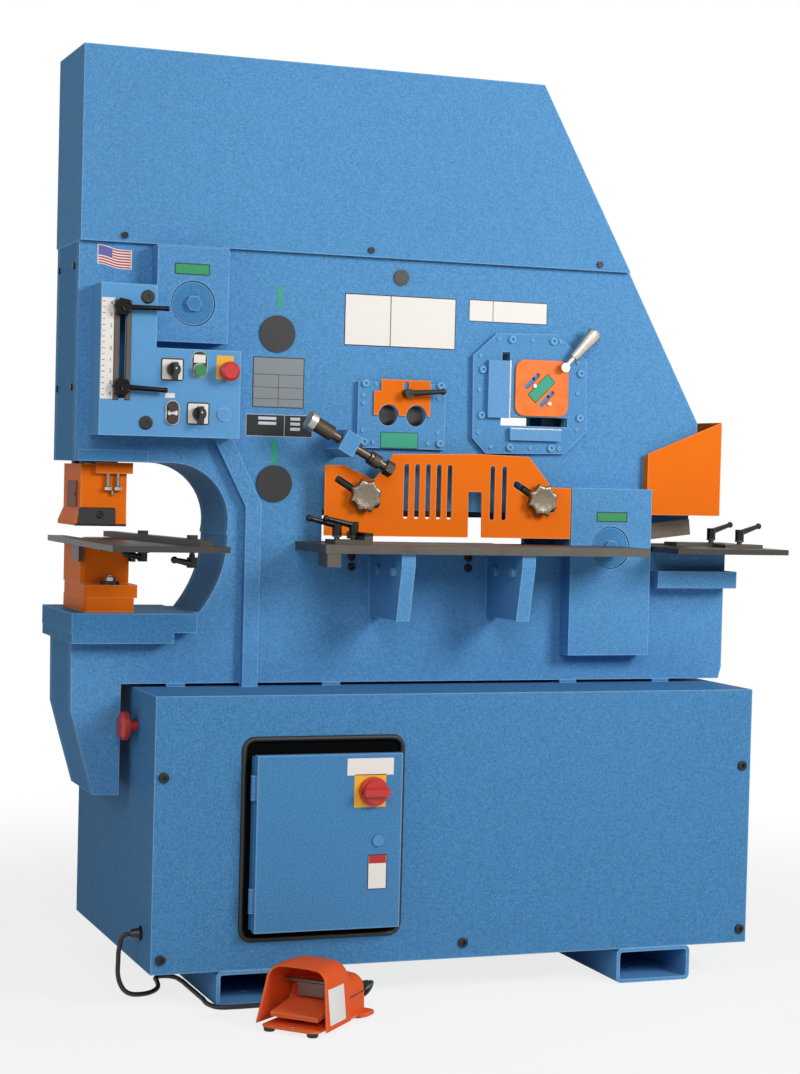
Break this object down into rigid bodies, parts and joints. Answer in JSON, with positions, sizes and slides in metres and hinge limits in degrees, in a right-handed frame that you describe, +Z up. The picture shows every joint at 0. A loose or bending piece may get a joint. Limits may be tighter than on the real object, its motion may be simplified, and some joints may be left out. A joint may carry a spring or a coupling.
{
  "type": "hydraulic ironworker",
  "caption": "Floor-standing C-frame hydraulic ironworker with punching end, flat, bar and angle shears, corner notcher, control box and a corded foot switch",
  "frame": {"origin": "centre of the floor anchor holes' pattern, on the floor under the machine", "axes": "+X along the machine from the punching end to the notching end, +Y from the operator's side to the rear, +Z up"},
  "size_m": [1.5901, 0.9735, 1.9513],
  "materials": {
    "machine_blue": "fine textured powder coat, half gloss",
    "deep_blue": "powder coat, half gloss",
    "guard_orange": "smooth gloss paint",
    "pedal_orange": "smooth gloss paint",
    "raw_steel": "hot-rolled and oiled, worn along the edges",
    "ground_steel": "ground tool steel",
    "dark_steel": "machined, oiled",
    "black_metal": "half gloss enamel",
    "grey_metal": "machine enamel",
    "black_plastic": "moulded, fine grain",
    "red_plastic": "moulded, glossy",
    "green_plastic": "moulded, glossy",
    "white_plastic": "moulded",
    "cord_rubber": "smooth jacket"
  },
  "bodies": {
    "base": {"foot_tubes": "machine_blue", "cabinet": "machine_blue", "rear_panel": "machine_blue", "electrical_box": "deep_blue", "front_plate": "machine_blue", "rear_plate": "machine_blue", "frame_webs": "deep_blue", "hood": "machine_blue", "cover_screws": "deep_blue", "pivot_blocks": "machine_blue", "wiring_duct": "machine_blue", "pin_covers": "black_plastic", "pivot_pins": "deep_blue", "fixed_blades": "ground_steel", "stripper": "guard_orange", "die_holder": "guard_orange", "die": "ground_steel", "punch_table": "raw_steel", "control_box": "machine_blue", "bar_shear_plate": "machine_blue", "angle_plate": "machine_blue", "welded_brackets": "machine_blue", "shear_table": "raw_steel", "notcher_table": "raw_steel", "notcher_guard": "guard_orange", "pedal_housing": "pedal_orange", "cord_fittings": "black_plastic", "cord": "cord_rubber", "power_unit": "grey_metal"},
    "door": {"cabinet_door": "machine_blue"},
    "main_switch": {"disconnect_knob": "red_plastic"},
    "door_latch": {"door_latch": "ground_steel"},
    "punch_rocker": {"punch_rocker": "dark_steel"},
    "punch_ram": {"punch_ram": "dark_steel", "punch": "ground_steel"},
    "cylinder_barrel": {"cylinder_barrel": "black_metal"},
    "cylinder_rod": {"cylinder_rod": "dark_steel"},
    "shear_beam": {"shear_beam": "machine_blue", "moving_blades": "ground_steel"},
    "punch_fence": {"punch_fence": "raw_steel"},
    "stop_upper": {"stop_upper": "black_plastic"},
    "stop_lower": {"stop_lower": "black_plastic"},
    "selector_left": {"selector_left": "black_plastic"},
    "selector_right": {"selector_right": "black_plastic"},
    "start_button": {"start_button": "green_plastic"},
    "estop_button": {"estop_button": "red_plastic"},
    "jog_up": {"jog_up": "white_plastic"},
    "jog_down": {"jog_down": "white_plastic"},
    "bar_guard": {"bar_guard": "guard_orange"},
    "bar_lever": {"bar_lever": "black_plastic"},
    "angle_guard": {"angle_guard": "guard_orange"},
    "hold_down_screw": {"hold_down_screw": "dark_steel"},
    "shear_guard": {"shear_guard": "guard_orange"},
    "guard_knob_left": {"guard_knob_left": "black_plastic"},
    "guard_knob_right": {"guard_knob_right": "black_plastic"},
    "table_gauge": {"table_gauge": "raw_steel"},
    "notcher_gauge": {"notcher_gauge": "raw_steel"},
    "palm_button": {"palm_button": "red_plastic"},
    "treadle": {"treadle": "pedal_orange"},
    "toe_latch": {"toe_latch": "ground_steel"}
  },
  "joints": [
    {"name": "door_hinge", "type": "hinge", "parent": "base", "child": "door", "pos_m": [-0.477, -0.372, 0.336], "axis": [0, 0, -1], "range_deg": [0, 110]},
    {"name": "main_switch_turn", "type": "hinge", "parent": "door", "child": "main_switch", "pos_m": [-0.224, -0.385, 0.439], "axis": [0, -1, 0], "range_deg": [0, 90]},
    {"name": "latch_turn", "type": "hinge", "parent": "door", "child": "door_latch", "pos_m": [-0.21, -0.38, 0.337], "axis": [0, -1, 0], "range_deg": [0, 90]},
    {"name": "rocker_pivot", "type": "hinge", "parent": "base", "child": "punch_rocker", "pos_m": [-0.578, -0.049, 1.431], "axis": [0, -1, 0], "range_deg": [0, 16.77]},
    {"name": "ram_slide", "type": "slide", "parent": "base", "child": "punch_ram", "axis": [0, 0, -1], "range_m": [0, 0.0452]},
    {"name": "barrel_lift", "type": "slide", "parent": "base", "child": "cylinder_barrel", "axis": [0, 0, 1], "range_m": [0, 0.058]},
    {"name": "beam_pivot", "type": "hinge", "parent": "base", "child": "shear_beam", "pos_m": [0.388, -0.049, 0.939], "axis": [0, -1, 0], "range_deg": [-8, 9.5]},
    {"name": "rod_slide", "type": "slide", "parent": "base", "child": "cylinder_rod", "axis": [0, 0, 1], "range_m": [-0.1278, 0.1078]},
    {"name": "fence_slide", "type": "slide", "parent": "base", "child": "punch_fence", "axis": [1, 0, 0], "range_m": [-0.03, 0.01]},
    {"name": "stop_upper_slide", "type": "slide", "parent": "base", "child": "stop_upper", "axis": [0, 0, -1], "range_m": [0, 0.06]},
    {"name": "stop_lower_slide", "type": "slide", "parent": "base", "child": "stop_lower", "axis": [0, 0, 1], "range_m": [0, 0.06]},
    {"name": "selector_left_turn", "type": "hinge", "parent": "base", "child": "selector_left", "pos_m": [-0.629, -0.243, 1.292], "axis": [0, -1, 0], "range_deg": [-45, 45]},
    {"name": "selector_right_turn", "type": "hinge", "parent": "base", "child": "selector_right", "pos_m": [-0.573, -0.243, 1.204], "axis": [0, -1, 0], "range_deg": [-45, 45]},
    {"name": "start_press", "type": "slide", "parent": "base", "child": "start_button", "axis": [0, 1, 0], "range_m": [0, 0.004], "stiffness_N_per_m": 500, "springref_m": -0.004},
    {"name": "estop_press", "type": "slide", "parent": "base", "child": "estop_button", "axis": [0, 1, 0], "range_m": [0, 0.008]},
    {"name": "jog_up_press", "type": "slide", "parent": "base", "child": "jog_up", "axis": [0, 1, 0], "range_m": [0, 0.0025], "stiffness_N_per_m": 400, "springref_m": -0.004},
    {"name": "jog_down_press", "type": "slide", "parent": "base", "child": "jog_down", "axis": [0, 1, 0], "range_m": [0, 0.0025], "stiffness_N_per_m": 400, "springref_m": -0.004},
    {"name": "palm_press", "type": "slide", "parent": "base", "child": "palm_button", "axis": [1, 0, 0], "range_m": [0, 0.006]},
    {"name": "bar_guard_slide", "type": "slide", "parent": "base", "child": "bar_guard", "axis": [0, 0, -1], "range_m": [0, 0.016]},
    {"name": "bar_lever_turn", "type": "hinge", "parent": "base", "child": "bar_lever", "pos_m": [-0.093, -0.155, 1.264], "axis": [0, -1, 0], "range_deg": [-60, 60]},
    {"name": "angle_guard_slide", "type": "slide", "parent": "base", "child": "angle_guard", "axis": [0.7071, 0, 0.7071], "range_m": [-0.01, 0.024]},
    {"name": "hold_down_slide", "type": "slide", "parent": "base", "child": "hold_down_screw", "axis": [0.8771, 0, -0.4802], "range_m": [-0.03, 0.018]},
    {"name": "shear_guard_slide", "type": "slide", "parent": "base", "child": "shear_guard", "axis": [0.8572, 0, -0.515], "range_m": [-0.024, 0]},
    {"name": "guard_knob_left_turn", "type": "hinge", "parent": "base", "child": "guard_knob_left", "pos_m": [-0.1965, -0.21, 1.042], "axis": [0, -1, 0], "continuous": true},
    {"name": "guard_knob_right_turn", "type": "hinge", "parent": "base", "child": "guard_knob_right", "pos_m": [0.2135, -0.21, 1.04], "axis": [0, -1, 0], "continuous": true},
    {"name": "table_gauge_slide", "type": "slide", "parent": "base", "child": "table_gauge", "axis": [1, 0, 0], "range_m": [0, 0.3]},
    {"name": "notcher_gauge_slide", "type": "slide", "parent": "base", "child": "notcher_gauge", "axis": [1, 0, 0], "range_m": [-0.03, 0.06]},
    {"name": "treadle_hinge", "type": "hinge", "parent": "base", "child": "treadle", "pos_m": [-0.37501, -0.50634, 0.046], "axis": [0.682, -0.7314, 0], "range_deg": [0, 7], "stiffness_Nm_per_rad": 12, "springref_deg": -6.88},
    {"name": "toe_latch_hinge", "type": "hinge", "parent": "base", "child": "toe_latch", "pos_m": [-0.38964, -0.51998, 0.086], "axis": [0.682, -0.7314, 0], "range_deg": [0, 18], "stiffness_Nm_per_rad": 0.3, "springref_deg": -5.73}
  ],
  "couplings": [
    {"joint": "ram_slide", "follows": "rocker_pivot", "m_per_rad": 0.15374},
    {"joint": "barrel_lift", "follows": "rocker_pivot", "m_per_rad": 0.195},
    {"joint": "rod_slide", "follows": "beam_pivot", "m_per_rad": -0.769}
  ]
}
